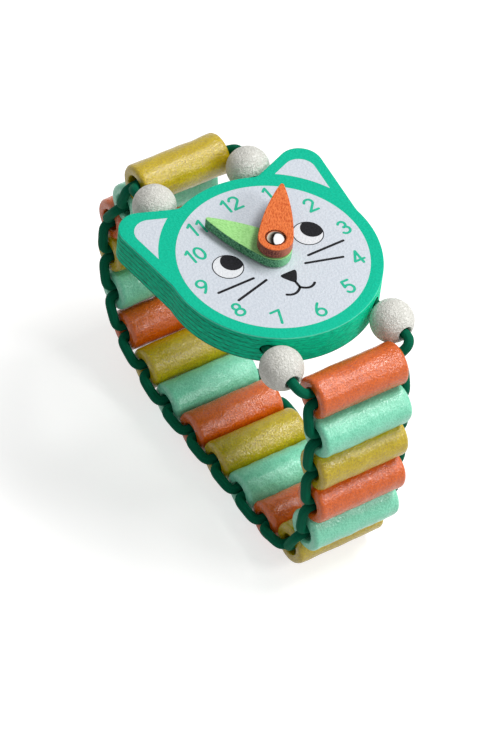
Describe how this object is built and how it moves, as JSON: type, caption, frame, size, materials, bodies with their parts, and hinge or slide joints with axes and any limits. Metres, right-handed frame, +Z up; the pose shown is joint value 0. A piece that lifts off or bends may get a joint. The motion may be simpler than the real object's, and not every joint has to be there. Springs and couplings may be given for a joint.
{
  "type": "toy watch",
  "caption": "Pretend wrist watch for a child: painted wooden case with two ears and turning hands on a strap of wooden cylinders woven together with round elastic.",
  "frame": {"origin": "middle of the footprint of the watch, on the surface that the strap stands on", "axes": "+X towards the 3 o'clock side, +Y towards the 12 o'clock side (the ears), +Z up through the dial"},
  "size_m": [0.0412, 0.074, 0.0567],
  "materials": {
    "painted_case": "satin paint on plywood",
    "pin_metal": "polished",
    "hour_paint": "matt paint",
    "minute_paint": "matt paint",
    "mustard_paint": "gloss paint",
    "mint_paint": "gloss paint",
    "orange_paint": "gloss paint",
    "ball_paint": "gloss off-white paint",
    "elastic_green": "smooth stretch elastic"
  },
  "bodies": {
    "foot": {"elastic_foot_a": "elastic_green", "elastic_foot_b": "elastic_green"},
    "side12": {"elastic_side12_a": "elastic_green", "elastic_side12_b": "elastic_green"},
    "side6": {"elastic_side6_a": "elastic_green", "elastic_side6_b": "elastic_green"},
    "case": {"case_plate": "painted_case", "hand_pin": "pin_metal", "elastic_case_left": "elastic_green", "elastic_case_right": "elastic_green"},
    "hour_hand": {"hour_hand": "hour_paint"},
    "minute_hand": {"minute_hand": "minute_paint"},
    "bead_01_mustard": {"bead_01_mustard": "mustard_paint"},
    "bead_02_mint": {"bead_02_mint": "mint_paint"},
    "bead_03_orange": {"bead_03_orange": "orange_paint"},
    "bead_04_mustard": {"bead_04_mustard": "mustard_paint"},
    "bead_05_mint": {"bead_05_mint": "mint_paint"},
    "bead_06_orange": {"bead_06_orange": "orange_paint"},
    "bead_07_mustard": {"bead_07_mustard": "mustard_paint"},
    "bead_08_mint": {"bead_08_mint": "mint_paint"},
    "bead_09_orange": {"bead_09_orange": "orange_paint"},
    "bead_10_mustard": {"bead_10_mustard": "mustard_paint"},
    "bead_11_mint": {"bead_11_mint": "mint_paint"},
    "bead_12_orange": {"bead_12_orange": "orange_paint"},
    "bead_13_mustard": {"bead_13_mustard": "mustard_paint"},
    "bead_14_mint": {"bead_14_mint": "mint_paint"},
    "bead_15_orange": {"bead_15_orange": "orange_paint"},
    "bead_16_mustard": {"bead_16_mustard": "mustard_paint"},
    "bead_17_mint": {"bead_17_mint": "mint_paint"},
    "bead_18_orange": {"bead_18_orange": "orange_paint"},
    "ball_12_left": {"ball_12_left": "ball_paint"},
    "ball_12_right": {"ball_12_right": "ball_paint"},
    "ball_6_left": {"ball_6_left": "ball_paint"},
    "ball_6_right": {"ball_6_right": "ball_paint"}
  },
  "joints": [
    {"name": "a_sway", "type": "hinge", "parent": "foot", "child": "side12", "pos_m": [0, 0.02573, 0.00909], "axis": [1, 0, 0], "range_deg": [-8, 8], "stiffness_Nm_per_rad": 0.02},
    {"name": "case_level", "type": "hinge", "parent": "side12", "child": "case", "pos_m": [0, 0.02645, 0.04584], "axis": [1, 0, 0], "range_deg": [-8, 8]},
    {"name": "side6_sway", "type": "hinge", "parent": "foot", "child": "side6", "pos_m": [0, -0.02906, 0.00597], "axis": [1, 0, 0], "range_deg": [-8, 8]},
    {"name": "b_minute_hand_turn", "type": "hinge", "parent": "case", "child": "minute_hand", "pos_m": [0, -0.00337, 0.05494], "axis": [0, 0, -1], "continuous": true},
    {"name": "c_hour_hand_turn", "type": "hinge", "parent": "case", "child": "hour_hand", "pos_m": [0, -0.00337, 0.05259], "axis": [0, 0, -1], "continuous": true},
    {"name": "d_ball_12_left_turn", "type": "hinge", "parent": "case", "child": "ball_12_left", "pos_m": [-0.00979, 0.01907, 0.04814], "axis": [-0.2419, 0.9703, 0], "continuous": true},
    {"name": "d_ball_12_right_turn", "type": "hinge", "parent": "case", "child": "ball_12_right", "pos_m": [0.00979, 0.01907, 0.04814], "axis": [0.2419, 0.9703, 0], "continuous": true},
    {"name": "d_ball_6_left_turn", "type": "hinge", "parent": "case", "child": "ball_6_left", "pos_m": [-0.01142, -0.02368, 0.04814], "axis": [-0.0675, -0.9977, 0], "continuous": true},
    {"name": "d_ball_6_right_turn", "type": "hinge", "parent": "case", "child": "ball_6_right", "pos_m": [0.01142, -0.02368, 0.04814], "axis": [0.0675, -0.9977, 0], "continuous": true},
    {"name": "e_bead_01_turn", "type": "hinge", "parent": "side12", "child": "bead_01_mustard", "pos_m": [0, 0.02645, 0.04584], "axis": [1, 0, 0], "continuous": true},
    {"name": "e_bead_02_turn", "type": "hinge", "parent": "side12", "child": "bead_02_mint", "pos_m": [0, 0.0294, 0.0384], "axis": [1, 0, 0], "continuous": true},
    {"name": "e_bead_03_turn", "type": "hinge", "parent": "side12", "child": "bead_03_orange", "pos_m": [0, 0.03311, 0.03131], "axis": [1, 0, 0], "continuous": true},
    {"name": "e_bead_04_turn", "type": "hinge", "parent": "side12", "child": "bead_04_mustard", "pos_m": [0, 0.03264, 0.02333], "axis": [1, 0, 0], "continuous": true},
    {"name": "e_bead_05_turn", "type": "hinge", "parent": "side12", "child": "bead_05_mint", "pos_m": [0, 0.03025, 0.01569], "axis": [1, 0, 0], "continuous": true},
    {"name": "e_bead_06_turn", "type": "hinge", "parent": "foot", "child": "bead_06_orange", "pos_m": [0, 0.02573, 0.00909], "axis": [1, 0, 0], "continuous": true},
    {"name": "e_bead_07_turn", "type": "hinge", "parent": "foot", "child": "bead_07_mustard", "pos_m": [0, 0.01843, 0.00584], "axis": [1, 0, 0], "continuous": true},
    {"name": "e_bead_08_turn", "type": "hinge", "parent": "foot", "child": "bead_08_mint", "pos_m": [0, 0.01066, 0.0039], "axis": [1, 0, 0], "continuous": true},
    {"name": "e_bead_09_turn", "type": "hinge", "parent": "foot", "child": "bead_09_orange", "pos_m": [0, 0.00266, 0.0039], "axis": [1, 0, 0], "continuous": true},
    {"name": "e_bead_10_turn", "type": "hinge", "parent": "foot", "child": "bead_10_mustard", "pos_m": [0, -0.00534, 0.0039], "axis": [1, 0, 0], "continuous": true},
    {"name": "e_bead_11_turn", "type": "hinge", "parent": "foot", "child": "bead_11_mint", "pos_m": [0, -0.01334, 0.0039], "axis": [1, 0, 0], "continuous": true},
    {"name": "e_bead_12_turn", "type": "hinge", "parent": "foot", "child": "bead_12_orange", "pos_m": [0, -0.02134, 0.0039], "axis": [1, 0, 0], "continuous": true},
    {"name": "e_bead_13_turn", "type": "hinge", "parent": "foot", "child": "bead_13_mustard", "pos_m": [0, -0.02906, 0.00597], "axis": [1, 0, 0], "continuous": true},
    {"name": "e_bead_14_turn", "type": "hinge", "parent": "side6", "child": "bead_14_mint", "pos_m": [0, -0.03256, 0.01317], "axis": [1, 0, 0], "continuous": true},
    {"name": "e_bead_15_turn", "type": "hinge", "parent": "side6", "child": "bead_15_orange", "pos_m": [0, -0.03311, 0.02115], "axis": [1, 0, 0], "continuous": true},
    {"name": "e_bead_16_turn", "type": "hinge", "parent": "side6", "child": "bead_16_mustard", "pos_m": [0, -0.03237, 0.02911], "axis": [1, 0, 0], "continuous": true},
    {"name": "e_bead_17_turn", "type": "hinge", "parent": "side6", "child": "bead_17_mint", "pos_m": [0, -0.03203, 0.03711], "axis": [1, 0, 0], "continuous": true},
    {"name": "e_bead_18_turn", "type": "hinge", "parent": "side6", "child": "bead_18_orange", "pos_m": [0, -0.02954, 0.04471], "axis": [1, 0, 0], "continuous": true}
  ],
  "couplings": [
    {"joint": "case_level", "follows": "a_sway", "ratio": -0.979},
    {"joint": "side6_sway", "follows": "a_sway", "ratio": 0.948}
  ]
}
